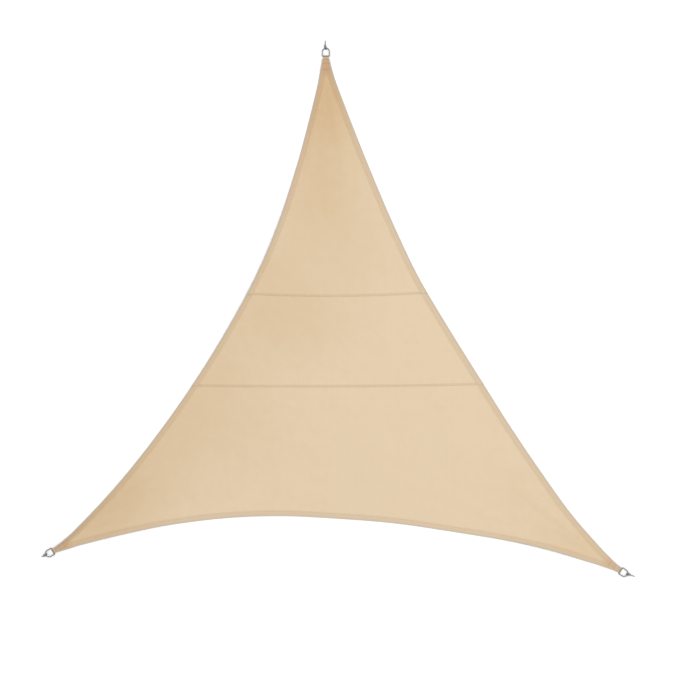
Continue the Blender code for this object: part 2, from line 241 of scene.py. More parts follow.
def new_material(name, numbers):
    """A material with plain values on its shader; returns it, its tree and the shader."""
    made = bpy.data.materials.new(name)
    made.use_nodes = True
    shader = made.node_tree.nodes["Principled BSDF"]
    for socket, value in numbers.items():
        shader.inputs[socket].default_value = value
    return made, made.node_tree, shader


def add_node(tree, kind, values=None, **settings):
    """A node with its settings, and its inputs given by name or number."""
    node = tree.nodes.new(kind)
    for setting, value in settings.items():
        setattr(node, setting, value)
    for socket, value in (values or {}).items():
        node.inputs[socket].default_value = value
    return node


def math_node(tree, operation, a, b=None):
    """A Math node between two sockets or numbers; returns its output."""
    node = tree.nodes.new("ShaderNodeMath")
    node.operation = operation
    for socket, value in zip(node.inputs, (a, b)):
        if isinstance(value, (int, float)):
            socket.default_value = value
        elif value is not None:
            tree.links.new(value, socket)
    return node.outputs[0]


def mixed(tree, share, first, second, blend="MIX"):
    """A colour Mix node; each value is a socket or a plain colour or number."""
    node = tree.nodes.new("ShaderNodeMix")
    node.data_type = "RGBA"
    node.blend_type = blend
    for socket, value in ((node.inputs[0], share), (node.inputs[6], first), (node.inputs[7], second)):
        if hasattr(value, "is_linked"):
            tree.links.new(value, socket)
        elif isinstance(value, (int, float)):
            socket.default_value = value
        else:
            socket.default_value = (*value, 1.0)
    return node.outputs[2]


def object_place(tree):
    return add_node(tree, "ShaderNodeTexCoord").outputs["Object"]


def noise_value(tree, place, scale, detail, **values):
    """The value of a noise at a place."""
    node = add_node(tree, "ShaderNodeTexNoise", {"Scale": scale, "Detail": detail, **values})
    tree.links.new(place, node.inputs["Vector"])
    return node.outputs["Fac"]


def mesh_value(tree, name):
    """The value that the mesh carries under a name."""
    return add_node(tree, "ShaderNodeAttribute", attribute_name=name).outputs["Fac"]


def add_bump(tree, height, strength, distance):
    """Bump on the material's shader, from a height."""
    node = add_node(tree, "ShaderNodeBump", {"Strength": strength, "Distance": distance})
    tree.links.new(height, node.inputs["Height"])
    tree.links.new(node.outputs["Normal"], tree.nodes["Principled BSDF"].inputs["Normal"])


CORD_GREY = (0.235, 0.240, 0.240)
# the dark grey stands for painted shade between the strands, and for random dark patches
CORD_DARK = (0.060, 0.062, 0.064)
CORD_PALE = (0.42, 0.43, 0.43)

cord_look, tree, shader = new_material("cord", {"Roughness": 0.78, "Sheen Weight": 0.12})
place = object_place(tree)
fibres = noise_value(tree, place, 1500.0, 3.0)
patches = noise_value(tree, place, 120.0, 2.0)
# painted shade: the cord is darker between the braid's strands, where its relief is low
colour = mixed(tree, mesh_value(tree, "relief"), CORD_DARK, CORD_GREY)
fleck = math_node(tree, "MULTIPLY", math_node(tree, "SUBTRACT", fibres, 0.45), 0.9)
colour = mixed(tree, fleck, colour, CORD_PALE)
colour = mixed(tree, math_node(tree, "MULTIPLY", patches, 0.35), colour, CORD_DARK)
tree.links.new(colour, shader.inputs["Base Color"])
add_bump(tree, fibres, 0.6, 0.00008)

for corner in CORNERS:
    middle = bow_place(corner)
    local = tie_route(corner)
    turn = corner.heading + corner.tie_swing - 90
    flat = [middle + turned(Vector(point[:2]), turn) for point in local]
    line = np.array([(p.x, p.y, point[2]) for p, point in zip(flat, local)])
    across, up = side_frames(line)
    along = run_along(line)
    length = along[-1]
    angles = np.arange(CORD_SIDES) * 2 * math.pi / CORD_SIDES
    height = braid_height(angles[None, :] / (2 * math.pi), along[:, None])
    from_end = np.minimum(along, length - along)
    sealed = rounded((from_end + SEALED_FLAT) / SEALED_LENGTH)
    radius = (CORD / 2 - STRAND_RELIEF * (1 - height)) * sealed[:, None]
    cosines, sines = np.cos(angles)[None, :, None], np.sin(angles)[None, :, None]
    round_it = cosines * across[:, None] + sines * up[:, None]
    points = (line[:, None] + radius[..., None] * round_it).reshape(-1, 3)
    tie = mesh_object("cord_tie_" + corner.name, points, tube_faces(len(line), CORD_SIDES), cord_look)
    mesh_number(tie, "relief", height.ravel())
    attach(tie, "root")
    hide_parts("tie_" + corner.name)


# ---------- cloth panels
# Three panels of closely woven polyester, lapped and sewn along two seams, each side folded over
# and sewn down as a hem. The sail lies face up, uneven where it was folded and pulled.

CLOTH = 0.0012
HEM = 0.003
HEM_WIDTH = 0.028
HEM_SLOPE = 0.0015
HEM_STITCH = 0.0235  # from the folded edge to the row of stitches
LAP = 0.010
LAP_RAMP = 0.026
LAP_STITCH = 0.0029  # from the middle of a seam to each of its two rows of stitches
WEBBING = 0.0015
CLOTH_BACK = 0.012
CLOTH_LIFT = 2 * (WEBBING + GAP)
LIFT_END = 0.076
LIFT_RAMP = 0.045
TIP_REACH = 0.20  # of a tip, from the ring's bar
BOX_NEAR = 0.034  # the box of stitches in each tip, from the ring's bar
BOX_FAR = 0.070
BOX_WIDTH = 0.022
BOX_DOUBLE = 0.004  # between the two rows across each end of the box
BOX_ROOM = 0.020  # beyond the box, as far as its rows mark the cloth
END_ROW = 0.0165  # one more row, just inside the cloth's blunt end
END_ROW_INSET = 0.003
EDGE_STEP = 0.0075  # between points along the hems and seams
FIELD_STEP = 0.0088  # between points of the cloth's middle
FIELD_ROOM = 0.45  # share of it that they keep off the rows
BOX_STEP = 0.003  # between points along the box of stitches
# distances of the hem's rows of points from its folded edge
HEM_ROWS = (
    0.0004, 0.0015, 0.006, 0.012, 0.0175, 0.021, 0.0225, HEM_STITCH, 0.0245, 0.026,
    HEM_WIDTH, HEM_WIDTH + 0.0007, HEM_WIDTH + HEM_SLOPE, 0.036,
)
# distances of a seam's rows of points from its middle, from below it upwards
LAP_ROWS = (
    -0.020, -0.012, -0.0075, -LAP / 2, -0.0048, -0.0044, -0.0036, -LAP_STITCH, -0.0022,
    0.0, 0.0022, LAP_STITCH, 0.0036, LAP / 2, 0.010, 0.017, 0.024, LAP / 2 + LAP_RAMP,
)

# how far each side bows inwards from the straight line between its two corners: (share, bow)
LEFT_BOW = (
    (0, 0), (0.05, 0.0472), (0.12, 0.1001), (0.2, 0.1545), (0.3, 0.2086),
    (0.4, 0.2366), (0.5, 0.2391), (0.6, 0.2252), (0.7, 0.197), (0.8, 0.1543),
    (0.88, 0.1066), (0.95, 0.0538), (0.98, 0.0253), (1, 0),
)
BOTTOM_BOW = (
    (0, 0), (0.05, 0.0473), (0.12, 0.1044), (0.2, 0.1588), (0.3, 0.204),
    (0.4, 0.2242), (0.5, 0.2206), (0.6, 0.2072), (0.7, 0.176), (0.8, 0.1385),
    (0.88, 0.0962), (0.95, 0.0428), (0.985, 0.0155), (1, 0),
)
RIGHT_BOW = (
    (0, 0), (0.015, 0.0155), (0.05, 0.0416), (0.12, 0.0827), (0.2, 0.108),
    (0.3, 0.1306), (0.4, 0.1436), (0.5, 0.1546), (0.6, 0.1586), (0.7, 0.1365),
    (0.8, 0.1012), (0.88, 0.0675), (0.95, 0.0351), (0.98, 0.0175), (1, 0),
)
SIDES = ((TOP, LEFT, LEFT_BOW), (LEFT, RIGHT, BOTTOM_BOW), (RIGHT, TOP, RIGHT_BOW))

# the middle line of each seam, a curve through (x, y)
UPPER_SEAM = ((-0.48, 0.098), (-0.03, 0.0858), (0.48, 0.1037))
LOWER_SEAM = ((-0.75, -0.37), (0, -0.3755), (0.75, -0.3635))

# what stands up from the floor: from (x, y) to (x, y), with the half width, the height and the
# share of the length over which each end fades
Fold = namedtuple("Fold", "x0 y0 x1 y1 half_width height fade")
FOLDS = (
    # the broad swell inside the left side
    (-0.11, 0.86, -0.66, -0.86, 0.27, 0.0095, 0.3),
    # tension folds out of the top, left and right corners
    (-0.076, 1.215, -0.15, 0.62, 0.036, 0.005, 0.35),
    (-0.04, 1.205, 0.075, 0.56, 0.04, 0.0042, 0.35),
    (-1.365, -1.165, -0.8, -0.76, 0.042, 0.0055, 0.35),
    (-1.35, -1.19, -0.74, -1.02, 0.038, 0.0044, 0.35),
    (1.36, -1.25, 0.86, -0.84, 0.04, 0.0048, 0.35),
    (1.335, -1.285, 0.72, -1.07, 0.042, 0.0056, 0.35),
    # low swells across the middle
    (0.16, 0.52, 0.3, 0.2, 0.13, 0.0042, 0.5),
    (0.06, 0.02, 0.44, -0.24, 0.17, 0.0048, 0.5),
    (0.02, -0.48, 0.3, -0.92, 0.16, 0.004, 0.5),
    (0.52, -0.52, 0.8, -0.86, 0.18, 0.005, 0.5),
    (-0.28, -0.94, 0.24, -0.99, 0.08, 0.003, 0.5),
)
CREASES = (
    # fine creases that run on from the tension folds
    (-0.062, 1.225, -0.1, 0.9, 0.016, 0.0022, 0.4),
    (-0.052, 1.22, 0.01, 0.84, 0.015, 0.0018, 0.4),
    (-0.13, 0.84, -0.215, 0.42, 0.022, 0.0016, 0.45),
    (-1.375, -1.18, -1.02, -0.98, 0.016, 0.002, 0.4),
    (-1.34, -1.15, -0.96, -0.8, 0.017, 0.0018, 0.4),
    (-1.1, -1.055, -0.66, -0.9, 0.02, 0.0015, 0.45),
    (1.37, -1.268, 1.02, -1.04, 0.016, 0.0022, 0.4),
    (1.33, -1.24, 0.96, -0.9, 0.017, 0.0017, 0.4),
    (1.1, -1.15, 0.66, -0.99, 0.02, 0.0015, 0.45),
    # creases left by the way it was folded away
    (-0.245, 0.3, -0.18, 0.42, 0.014, 0.0014, 0.5),
    (-0.21, 0.245, -0.12, 0.205, 0.013, 0.0012, 0.5),
    (-0.11, 0.56, 0.03, 0.49, 0.018, 0.0013, 0.5),
    (0.02, 0.4, 0.15, 0.33, 0.016, 0.0013, 0.5),
    (-0.33, -0.05, -0.24, -0.17, 0.018, 0.0014, 0.5),
    (0.18, -0.05, 0.29, -0.21, 0.016, 0.0012, 0.5),
    (-0.62, -0.56, -0.48, -0.7, 0.018, 0.0015, 0.5),
    (-0.21, -0.6, -0.09, -0.76, 0.016, 0.0012, 0.5),
    (0.3, -0.56, 0.39, -0.74, 0.016, 0.0013, 0.5),
    (0.62, -0.7, 0.78, -0.62, 0.018, 0.0013, 0.5),
    (-0.9, -0.98, -0.69, -0.9, 0.016, 0.0013, 0.5),
)
# ripples of the whole cloth: the way across each in degrees, its length and its height
Ripple = namedtuple("Ripple", "way length height")
RIPPLES = (
    (17, 0.19, 0.0005),
    (71, 0.143, 0.00042),
    (118, 0.097, 0.0003),
    (152, 0.061, 0.00018),
)
HEM_PUCKER = 0.00055  # height of the puckers just inside a hem
HEM_PUCKER_PLACE = (0.012, 0.016)  # their middle inside it, and their reach
HEM_PUCKER_LENGTH = 0.041
HEM_PUCKER_WAY = (0.62, 0.78)
HEM_PUCKER_START = (0.10, 0.10)  # where they set in, inside a ring's bar, and over what length
LAP_PUCKER = 0.00045  # height of those on both sides of a seam
LAP_PUCKER_REACH = 0.022
LAP_PUCKER_LENGTH = 0.033
GROOVE_DEPTH = 0.0008  # of the trough that a row of stitches pulls into a hem
HEM_GROOVE = 0.0024  # half its width
BOX_GROOVE = 0.0018
LAP_GROOVE = 0.0013
LAP_GROOVE_SHARE = 0.4  # of a hem's depth
HEM_ROW_START = 0.010  # length over which a hem's groove sets in beyond the box
HEM_MARK = 0.25  # how dark a hem's row of stitches marks the cloth, next to the box's 1
LAP_MARK = 0.35
LAP_TONE = 0.7  # how deep a seam is toned, next to a hem
HEM_TONE_FADE = (0.007, 0.011)  # where a hem's tone begins to fade, before its end, and its length
CALM = (0.020, 0.100)  # where ripples and creases set in, from a side, and over what length
TACK_MARK = {TOP: 1.0, LEFT: 0.45, RIGHT: 0.40}  # how dark the rows across each tip mark it
TACK_REACH = 0.0030


def cloth_end(corner, hand):
    """One end of the cloth's blunt edge at a corner; hand is 1 for the end where a side
    begins, going round against the clock, and -1 for the end where one arrives."""
    way = outward(corner)
    middle = Vector((corner.x, corner.y)) - CLOTH_BACK * way
    return middle + turned(way, 90) * (hand * corner.cloth_width / 2)


def side_line(start, finish, bow):
    first, last = cloth_end(start, 1), cloth_end(finish, -1)
    inwards = turned((last - first).normalized(), 90)
    return through([first.lerp(last, share) + inwards * depth for share, depth in bow], EDGE_STEP)


def moved_in(line, distance):
    """A side moved inwards by a distance."""
    along = ways_along(line)
    return line + np.stack([-along[:, 1], along[:, 0]], axis=1) * distance


def seam_height(seam, x):
    """The y of a seam's middle line at x."""
    (x0, y0), (x1, y1), (x2, y2) = seam
    t = (x - x0) / (x2 - x0)
    sag = y1 - (y0 + (y2 - y0) * (x1 - x0) / (x2 - x0))
    return y0 + (y2 - y0) * t + 4 * sag * t * (1 - t)


def seam_line(seam, shift):
    x = np.linspace(seam[0][0], seam[2][0], round((seam[2][0] - seam[0][0]) / EDGE_STEP))
    return np.stack([x, seam_height(seam, x) + shift], axis=1)


def smooth_step(share):
    share = np.clip(share, 0.0, 1.0)
    return share * share * (3 - 2 * share)


def distance_to(points, line):
    """How far each point is from a line."""
    best = np.full(len(points), np.inf)
    start, span = line[:-1], np.diff(line, axis=0)
    for i in range(0, len(points), 4000):
        part = points[i:i + 4000, None] - start
        share = np.clip((part * span).sum(2) / (span * span).sum(1), 0, 1)
        best[i:i + 4000] = np.linalg.norm(part - share[..., None] * span, axis=2).min(1)
    return best


def inside_outline(points, outline):
    inside = np.zeros(len(points), bool)
    x, y = points.T
    for (ax, ay), (bx, by) in zip(outline, np.roll(outline, -1, axis=0)):
        if ay != by:
            inside ^= ((ay > y) != (by > y)) & (x < ax + (y - ay) / (by - ay) * (bx - ax))
    return inside


def folded(points, folds):
    """How far folds lift the cloth at each point."""
    total = np.zeros(len(points))
    for fold in itertools.starmap(Fold, folds):
        start = np.array((fold.x0, fold.y0))
        span = np.array((fold.x1, fold.y1)) - start
        share = (points - start) @ span / (span @ span)
        off = np.linalg.norm(points - start - share[:, None] * span, axis=1) / fold.half_width
        ends = smooth_step(share / fold.fade) * smooth_step((1 - share) / fold.fade)
        total += fold.height * ends * np.clip(1 - off * off, 0, None) ** 2
    return total


def corner_distance(points, corner):
    """How far each point is from the middle of the bar of a corner's ring."""
    return np.linalg.norm(points - np.array((corner.x, corner.y)), axis=1)


def bar_distance(points):
    """How far inside the bar of its corner's ring each point is, without end away from the tips."""
    inside = np.full(len(points), np.inf)
    for corner in CORNERS:
        near = corner_distance(points, corner) < TIP_REACH
        from_bar = points[near] - np.array((corner.x, corner.y))
        inside[near] = -(from_bar @ np.array(outward(corner)))
    return inside


def by_tip(points, values):
    """The value of its tip at each point, and 0 away from the tips."""
    picked = np.zeros(len(points))
    for corner in CORNERS:
        picked[corner_distance(points, corner) < TIP_REACH] = values[corner]
    return picked


def box_rows(corner):
    """The sides and the cross of a tip's box of stitches, its doubled ends and the end row."""
    bar = Vector((corner.x, corner.y))
    way = outward(corner)
    across = turned(way, 90) * (BOX_WIDTH / 2)
    near, far = bar - way * BOX_NEAR, bar - way * BOX_FAR
    a, b, c, d = near - across, near + across, far + across, far - across
    pairs = [(a, b), (b, c), (c, d), (d, a), (a, c), (b, d)]
    end_across = turned(way, 90) * (corner.cloth_width / 2 - END_ROW_INSET)
    for place, half in (
        (near - way * BOX_DOUBLE, across), (far + way * BOX_DOUBLE, across),
        (bar - way * END_ROW, end_across),
    ):
        pairs.append((place - half, place + half))
    return [spaced(pair, BOX_STEP) for pair in pairs]


def tack_marks(points):
    """How dark the rows across a tip mark the cloth at each point."""
    inside = bar_distance(points)
    across = sum(
        np.exp(-(((inside - tack) / TACK_REACH) ** 2))
        for tack in (END_ROW, BOX_NEAR + BOX_DOUBLE / 2, BOX_FAR - BOX_DOUBLE / 2)
    )
    return by_tip(points, TACK_MARK) * across


def waves(along, length):
    """An uneven wave, -1 to 1, of about the given length."""
    return np.sin(2 * math.pi * along / length + 1.7 * np.sin(2 * math.pi * along / (5.3 * length)))


def groove(distance, half_width):
    """The trough that a row of stitches pulls into the cloth, 0 to 1."""
    return np.clip(1 - (distance / half_width) ** 2, 0, None) ** 2


side_lines = [side_line(*side) for side in SIDES]
outline = np.concatenate(side_lines)
tip_rows = [row for corner in CORNERS for row in box_rows(corner)]


def cloth_faces(points, above, below):
    """At each point of a panel between two seams: its lower and upper height, how deep a hem or a
    seam tones it, how far each side is, and how dark the stitching marks it."""
    from_side = np.array([distance_to(points, line) for line in side_lines])
    nearest = from_side.min(0)
    inside = bar_distance(points)
    x, y = points.T

    hem = 1 - smooth_step((nearest - HEM_WIDTH) / HEM_SLOPE)
    doubled = 1 - smooth_step((nearest - HEM_WIDTH + HEM_TONE_FADE[0]) / HEM_TONE_FADE[1])
    thick = CLOTH + (HEM - CLOTH) * hem
    sewn = np.zeros(len(points))
    beyond_box = smooth_step((inside - BOX_FAR) / HEM_ROW_START)
    for distance in from_side:
        sewn = np.maximum(sewn, groove(distance - HEM_STITCH, HEM_GROOVE) * beyond_box)
    marked = HEM_MARK * sewn
    box = inside < BOX_FAR + BOX_ROOM
    for row in tip_rows:
        sewn[box] = np.maximum(sewn[box], groove(distance_to(points[box], row), BOX_GROOVE))
    marked[box] = np.maximum(sewn[box], tack_marks(points[box]))
    thick = thick - GROOVE_DEPTH * sewn
    off = (nearest - HEM_WIDTH - HEM_PUCKER_PLACE[0]) / HEM_PUCKER_PLACE[1]
    along = x * HEM_PUCKER_WAY[0] + y * HEM_PUCKER_WAY[1]
    pucker = HEM_PUCKER * np.exp(-(off**2)) * (1 + waves(along, HEM_PUCKER_LENGTH))

    lap = np.zeros(len(points))
    lift = np.zeros(len(points))
    edge = nearest.copy()
    for seam, own in ((above, False), (below, True)):
        if not seam:
            continue
        off = y - seam_height(seam, x)
        lap = np.maximum(lap, (np.abs(off) < LAP / 2 + 1e-5).astype(float))
        lap_pucker = np.exp(-((off / LAP_PUCKER_REACH) ** 2)) * (1 + waves(x, LAP_PUCKER_LENGTH))
        pucker += LAP_PUCKER * lap_pucker * (nearest > HEM_WIDTH)
        for stitch in (-LAP_STITCH, LAP_STITCH):
            row = groove(off - stitch, LAP_GROOVE)
            thick = thick - LAP_GROOVE_SHARE * GROOVE_DEPTH * row
            marked = np.maximum(marked, LAP_MARK * row * (1 - hem))
        if own:
            ramp = 1 - smooth_step((off - LAP / 2) / LAP_RAMP)
            lift = (np.where(hem > 0.5, HEM, CLOTH) + GAP) * ramp
            edge = np.minimum(edge, np.clip(off + LAP / 2, 0, None))
        else:
            edge = np.minimum(edge, np.clip(LAP / 2 - off, 0, None))

    ripples = np.zeros(len(points))
    for ripple in itertools.starmap(Ripple, RIPPLES):
        way = turned(Vector((1, 0)), ripple.way)
        ripples += ripple.height * (1 + waves(x * way.x + y * way.y, ripple.length))
    over_webbing = 1 - smooth_step((inside - LIFT_END) / LIFT_RAMP)
    calm = smooth_step((nearest - CALM[0]) / CALM[1])
    start = smooth_step((inside - HEM_PUCKER_START[0]) / HEM_PUCKER_START[1])
    lower = folded(points, FOLDS) + lift + CLOTH_LIFT * over_webbing
    lower += (folded(points, CREASES) + ripples) * calm + pucker * start
    half = thick / 2
    nose = rounded(edge / half)
    return (
        lower + half * (1 - nose), lower + half * (1 + nose), np.maximum(doubled, LAP_TONE * lap),
        from_side, marked,
    )


def flat_pattern():
    """The whole sail as one flat net of triangles, with rows along its hems and seams."""
    lines = [moved_in(line, distance) for line in side_lines for distance in HEM_ROWS]
    lines += [seam_line(seam, shift) for seam in (UPPER_SEAM, LOWER_SEAM) for shift in LAP_ROWS]
    lines += [moved_in(row, shift) for row in tip_rows for shift in (-BOX_GROOVE, 0.0, BOX_GROOVE)]
    x, y = np.meshgrid(
        np.arange(LEFT.x, RIGHT.x, FIELD_STEP),
        np.arange(RIGHT.y, TOP.y, FIELD_STEP * math.sqrt(3) / 2),
    )
    x = x + (np.arange(len(x)) % 2)[:, None] * FIELD_STEP / 2
    field = np.stack([x.ravel(), y.ravel()], axis=1)
    field = field[inside_outline(field, outline)]
    room = FIELD_ROOM * FIELD_STEP
    for seam in (UPPER_SEAM, LOWER_SEAM):
        off = field[:, 1] - seam_height(seam, field[:, 0])
        field = field[(off < LAP_ROWS[0] - room) | (off > LAP_ROWS[-1] + room)]
    for line in side_lines:
        field = field[distance_to(field, line) > HEM_ROWS[-1] + room]

    points = [outline]
    edges = [(i, (i + 1) % len(outline)) for i in range(len(outline))]
    count = len(outline)
    for line in lines:
        points.append(line)
        edges += [(count + i, count + i + 1) for i in range(len(line) - 1)]
        count += len(line)
    points.append(field)
    flat = [Vector(p) for p in np.concatenate(points)]
    places, _, faces, _, _, _ = delaunay_2d_cdt(flat, edges, [list(range(len(outline)))], 1, 1e-7)
    return np.array([tuple(p) for p in places]), np.array(faces)


CLOTH_PALE = (0.700, 0.564, 0.394)
CLOTH_DEEP = (0.591, 0.411, 0.232)
CLOTH_TIP = (0.548, 0.353, 0.199)  # painted shade where the floor shines through the several layers over the webbing less
DOUBLE_TINT = (0.930, 0.900, 0.885)  # of a hem and a seam, where the floor shines through less
SEWN_TINT = (0.86, 0.80, 0.74)
CLOTH_RIM = (0.505, 0.455, 0.385)  # the folded edge: painted shade where it curves down, and rubbed a little grey
HEM_LINE_TINT = (0.75, 0.80, 0.85)  # a darker line along each hem, just inside its folded edge
WEAVE_PITCH = 0.0006
THREAD_CONTRAST = 0.16  # between the weave's threads
MOTTLES = ((7.0, 0.22), (24.0, 0.30))  # of the cloth's tone: scale and strength


def weave_group():
    """A plain weave: its height, and a value that differs from thread to thread."""
    group = bpy.data.node_groups.new("plain_weave", "ShaderNodeTree")
    for name, way, kind in (
        ("Place", "INPUT", "Vector"), ("Across Pitch", "INPUT", "Float"),
        ("Along Pitch", "INPUT", "Float"), ("Height", "OUTPUT", "Float"), ("Thread", "OUTPUT", "Float"),
    ):
        group.interface.new_socket(name, in_out=way, socket_type="NodeSocket" + kind)
    inputs = group.nodes.new("NodeGroupInput")
    outputs = group.nodes.new("NodeGroupOutput")
    split = group.nodes.new("ShaderNodeSeparateXYZ")
    group.links.new(inputs.outputs["Place"], split.inputs[0])
    u = math_node(group, "DIVIDE", split.outputs[0], inputs.outputs["Across Pitch"])
    v = math_node(group, "DIVIDE", split.outputs[1], inputs.outputs["Along Pitch"])
    ridge_u = math_node(group, "SINE", math_node(group, "MULTIPLY", u, math.pi))
    ridge_v = math_node(group, "SINE", math_node(group, "MULTIPLY", v, math.pi))
    crossing = math_node(group, "MULTIPLY", ridge_u, ridge_v)
    height = math_node(group, "ADD", math_node(group, "MULTIPLY", crossing, 0.5), 0.5)
    group.links.new(height, outputs.inputs["Height"])
    threads = []
    for place, shift in ((u, 0.0), (v, 0.5)):
        noise = group.nodes.new("ShaderNodeTexWhiteNoise")
        noise.noise_dimensions = "1D"
        number = math_node(group, "ADD", math_node(group, "FLOOR", place), shift)
        group.links.new(number, noise.inputs["W"])
        threads.append(noise.outputs["Value"])
    warp_up = math_node(group, "GREATER_THAN", crossing, 0.0)
    warp = math_node(group, "MULTIPLY", threads[0], warp_up)
    weft = math_node(group, "MULTIPLY", threads[1], math_node(group, "SUBTRACT", 1.0, warp_up))
    group.links.new(math_node(group, "ADD", warp, weft), outputs.inputs["Thread"])
    return group


plain_weave = weave_group()


def add_weave(tree, place, across, along):
    node = tree.nodes.new("ShaderNodeGroup")
    node.node_tree = plain_weave
    tree.links.new(place, node.inputs["Place"])
    node.inputs["Across Pitch"].default_value = across
    node.inputs["Along Pitch"].default_value = along
    return node


cloth_look, tree, shader = new_material(
    "cloth", {"Roughness": 0.86, "Sheen Weight": 0.08, "Specular IOR Level": 0.25}
)
place = object_place(tree)
weave = add_weave(tree, place, WEAVE_PITCH, WEAVE_PITCH)
# the mesh's tone is painted shade, deeper towards the top corner, the left side and the left corner;
# the mottles are the cloth's own uneven tone
depth = mesh_value(tree, "tone")
for scale, strength in MOTTLES:
    noise = noise_value(tree, place, scale, 4.0, Roughness=0.6)
    shift = math_node(tree, "MULTIPLY", math_node(tree, "SUBTRACT", noise, 0.5), strength)
    depth = math_node(tree, "ADD", depth, shift)
colour = mixed(tree, depth, CLOTH_PALE, CLOTH_DEEP)
# the tip tint is painted shade, where the floor shines through the layered tips less
for name, tint, blend in (
    ("doubled", DOUBLE_TINT, "MULTIPLY"), ("tip", CLOTH_TIP, "MIX"), ("sewn", SEWN_TINT, "MULTIPLY"),
    ("rim", CLOTH_RIM, "MIX"), ("turned", HEM_LINE_TINT, "MULTIPLY"),
):
    colour = mixed(tree, mesh_value(tree, name), colour, tint, blend)
thread = math_node(tree, "MULTIPLY", weave.outputs["Thread"], THREAD_CONTRAST)
colour = mixed(tree, thread, colour, CLOTH_DEEP)
tree.links.new(colour, shader.inputs["Base Color"])
add_bump(tree, weave.outputs["Height"], 0.7, 0.00014)

HEM_LINE = (0.0085, 0.0045)  # its distance from the folded edge, and its reach to each side
# its strength near the start of the left, bottom and right sides, along them and near their end
HEM_LINE_SIDES = ((0.6, 0.38, 1.0), (0.45, 0.0, 0.2), (0.15, 0.17, 0.8))
HEM_LINE_REACH = 0.20  # of a corner's strength along a side
ROLLED_SHADE = 0.94  # depth of the painted shade on the left side's hem near the left corner, where it is rolled
ROLLED_REACH = 0.29
ROLLED_WIDTH = (0.019, 0.006)  # where it begins to fade, from the side, and over what length
ROLLED_START = (0.050, 0.040)  # where it sets in, from the corner, and over what length


def hem_line_strength(points, from_side):
    """How strongly the darker line just inside each hem's folded edge shows at each point."""
    line = np.zeros(len(points))
    for distance, side, (at_start, along, at_end) in zip(from_side, SIDES, HEM_LINE_SIDES):
        strength = np.full(len(points), along)
        for corner, there in ((side[0], at_start), (side[1], at_end)):
            far = corner_distance(points, corner)
            strength += (there - along) * np.exp(-((far / HEM_LINE_REACH) ** 2))
        off = (distance - HEM_LINE[0]) / HEM_LINE[1]
        line = np.maximum(line, strength * np.exp(-(off**2)))
    return line


def rolled_hem_shade(points, from_side):
    """How deep the painted shade of the rolled hem near the left corner is at each point."""
    far = corner_distance(points, LEFT)
    band = 1 - smooth_step((from_side[0] - ROLLED_WIDTH[0]) / ROLLED_WIDTH[1])
    start = smooth_step((far - ROLLED_START[0]) / ROLLED_START[1])
    return ROLLED_SHADE * np.exp(-((far / ROLLED_REACH) ** 2)) * band * start


RIM = (0.003, 0.012)  # where the folded edge's grey and painted shade begin to fade, and over what length
RIM_SHARE = 0.58
TIP_TONE = {TOP: 0.95, LEFT: 0.80, RIGHT: 0.45}  # the strength of each tip's painted shade
TIP_FADE = (0.070, 0.050)  # where it begins to fade, from the ring's bar, and over what length


def tip_tone(points):
    """How much of its tip's painted shade each point has."""
    fade = smooth_step((bar_distance(points) - TIP_FADE[0]) / TIP_FADE[1])
    return by_tip(points, TIP_TONE) * (1 - fade)


# painted shade, where the cloth is toned deeper: middle, reach along x and y, and strength
Shade = namedtuple("Shade", "x y reach_x reach_y strength")
SHADES = (
    (-0.056, 1.16, 0.17, 0.3, 0.86),
    (-0.1, 0.86, 0.22, 0.26, 0.26),
    (-0.12, 0.55, 0.22, 0.22, 0.33),
    (0.05, 0.5, 0.2, 0.4, 0.11),
    (-0.3, 0.22, 0.2, 0.18, 0.23),
    (-0.43, 0.02, 0.17, 0.2, 0.18),
    (-0.2, -0.06, 0.24, 0.2, 0.29),
    (-0.62, -0.3, 0.24, 0.24, 0.27),
    (-0.85, -0.6, 0.26, 0.24, 0.32),
    (-1.1, -0.88, 0.26, 0.22, 0.49),
    (-1.3, -1.1, 0.28, 0.22, 0.47),
    (-0.45, -0.62, 0.28, 0.24, 0.14),
    (0.1, 0.25, 0.2, 0.2, 0.11),
    (0.95, -0.92, 0.26, 0.2, 0.09),
    (1.25, -1.2, 0.26, 0.16, 0.3),
)

